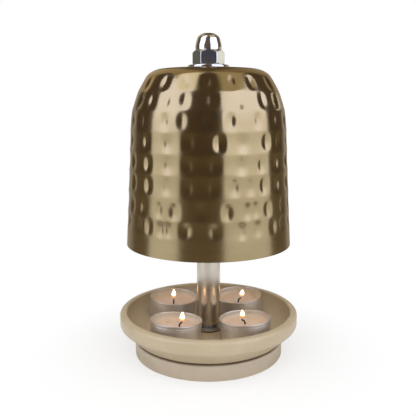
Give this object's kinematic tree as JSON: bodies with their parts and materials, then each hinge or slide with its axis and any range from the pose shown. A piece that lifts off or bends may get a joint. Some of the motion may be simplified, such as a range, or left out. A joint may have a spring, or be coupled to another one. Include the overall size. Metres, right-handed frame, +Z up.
{
  "type": "tealight lamp",
  "caption": "Hammered bell over a round dish of tealights: the bell hangs on a central tube under a cap nut, and the dish stands on a round foot.",
  "frame": {"origin": "on the lamp's axis, in the plane that it stands on", "axes": "+Z up along the rod; the lamp's pictured side faces -Y, with +X to its right"},
  "size_m": [0.1368, 0.1368, 0.241],
  "materials": {
    "foot_ceramic": "matt, unglazed beige stoneware",
    "dish_ceramic": "matt, unglazed beige stoneware",
    "gasket": "dark fibre rubber",
    "zinc_steel": "bright zinc plate",
    "polished_steel": "polished nickel plate",
    "rod_steel": "zinc plated thread",
    "tube_steel": "drawn stainless tube, satin",
    "inner_bell_steel": "spun stainless sheet, satin",
    "bell_brass": "hammered and brushed antique brass",
    "cup_foil": "drawn aluminium foil",
    "wax": "candle wax, melted on top",
    "wick": "charred cotton",
    "wick_tin": "tinned sheet"
  },
  "bodies": {
    "stand": {"foot": "foot_ceramic", "dish": "dish_ceramic", "foot_gasket": "gasket", "foot_washer": "zinc_steel", "foot_nut": "zinc_steel", "threaded_rod": "rod_steel", "dish_gasket": "gasket", "dish_washer": "zinc_steel", "tube": "tube_steel", "lower_bell_washer": "zinc_steel", "inner_bell": "inner_bell_steel", "upper_bell_washer": "zinc_steel", "sleeve": "tube_steel", "bell_support_washer": "zinc_steel"},
    "bell": {"outer_bell": "bell_brass"},
    "top_washer": {"top_washer": "polished_steel"},
    "cap_nut": {"cap_nut": "polished_steel"},
    "tealight_front_left": {"cup_front_left": "cup_foil", "wax_front_left": "wax", "wick_front_left": "wick", "wick_holder_front_left": "wick_tin"},
    "tealight_front_right": {"cup_front_right": "cup_foil", "wax_front_right": "wax", "wick_front_right": "wick", "wick_holder_front_right": "wick_tin"},
    "tealight_back_left": {"cup_back_left": "cup_foil", "wax_back_left": "wax", "wick_back_left": "wick", "wick_holder_back_left": "wick_tin"},
    "tealight_back_right": {"cup_back_right": "cup_foil", "wax_back_right": "wax", "wick_back_right": "wick", "wick_holder_back_right": "wick_tin"}
  },
  "joints": [
    {"name": "bell_lift", "type": "slide", "parent": "stand", "child": "bell", "axis": [0, 0, 1], "range_m": [0, 0.15]},
    {"name": "washer_rise", "type": "slide", "parent": "bell", "child": "top_washer", "axis": [0, 0, 1], "range_m": [0, 0.01401]},
    {"name": "nut_turn", "type": "hinge", "parent": "top_washer", "child": "cap_nut", "pos_m": [0, 0, 0.2185], "axis": [0, 0, 1], "range_deg": [0, 2880]},
    {"name": "tealight_front_left_lift", "type": "slide", "parent": "stand", "child": "tealight_front_left", "axis": [0, 0, 1], "range_m": [0, 0.02]},
    {"name": "tealight_front_right_lift", "type": "slide", "parent": "stand", "child": "tealight_front_right", "axis": [0, 0, 1], "range_m": [0, 0.02]},
    {"name": "tealight_back_left_lift", "type": "slide", "parent": "stand", "child": "tealight_back_left", "axis": [0, 0, 1], "range_m": [0, 0.02]},
    {"name": "tealight_back_right_lift", "type": "slide", "parent": "stand", "child": "tealight_back_right", "axis": [0, 0, 1], "range_m": [0, 0.02]}
  ],
  "couplings": [
    {"joint": "washer_rise", "follows": "nut_turn", "m_per_rad": 0.00027852}
  ]
}
